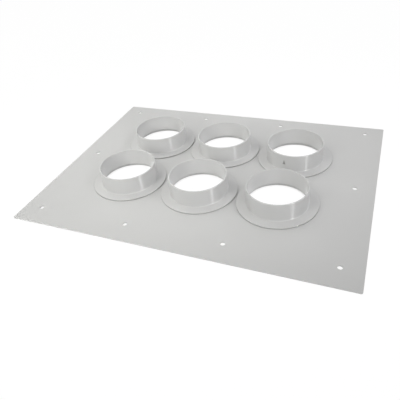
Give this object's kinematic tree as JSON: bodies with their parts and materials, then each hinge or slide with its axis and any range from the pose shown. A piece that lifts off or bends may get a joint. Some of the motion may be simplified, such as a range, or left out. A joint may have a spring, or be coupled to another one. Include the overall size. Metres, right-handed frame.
{
  "type": "cable entry plate",
  "caption": "Flat painted sheet plate with flanged round collars that lead cables through a wall opening, held by screws near its edges.",
  "frame": {"origin": "centre of the plate's underside, which lies at z = 0", "axes": "+X along the plate's long side, +Y along its short side, +Z out of the face that carries the collars"},
  "size_m": [0.585, 0.445, 0.0363],
  "materials": {
    "plate_paint": "semi-gloss light grey paint",
    "collar_paint": "semi-gloss light grey paint"
  },
  "bodies": {
    "root": {"entry_plate": "plate_paint", "port_collar_1": "collar_paint", "port_collar_2": "collar_paint", "port_collar_3": "collar_paint", "port_collar_4": "collar_paint", "port_collar_5": "collar_paint", "port_collar_6": "collar_paint"}
  },
  "joints": []
}
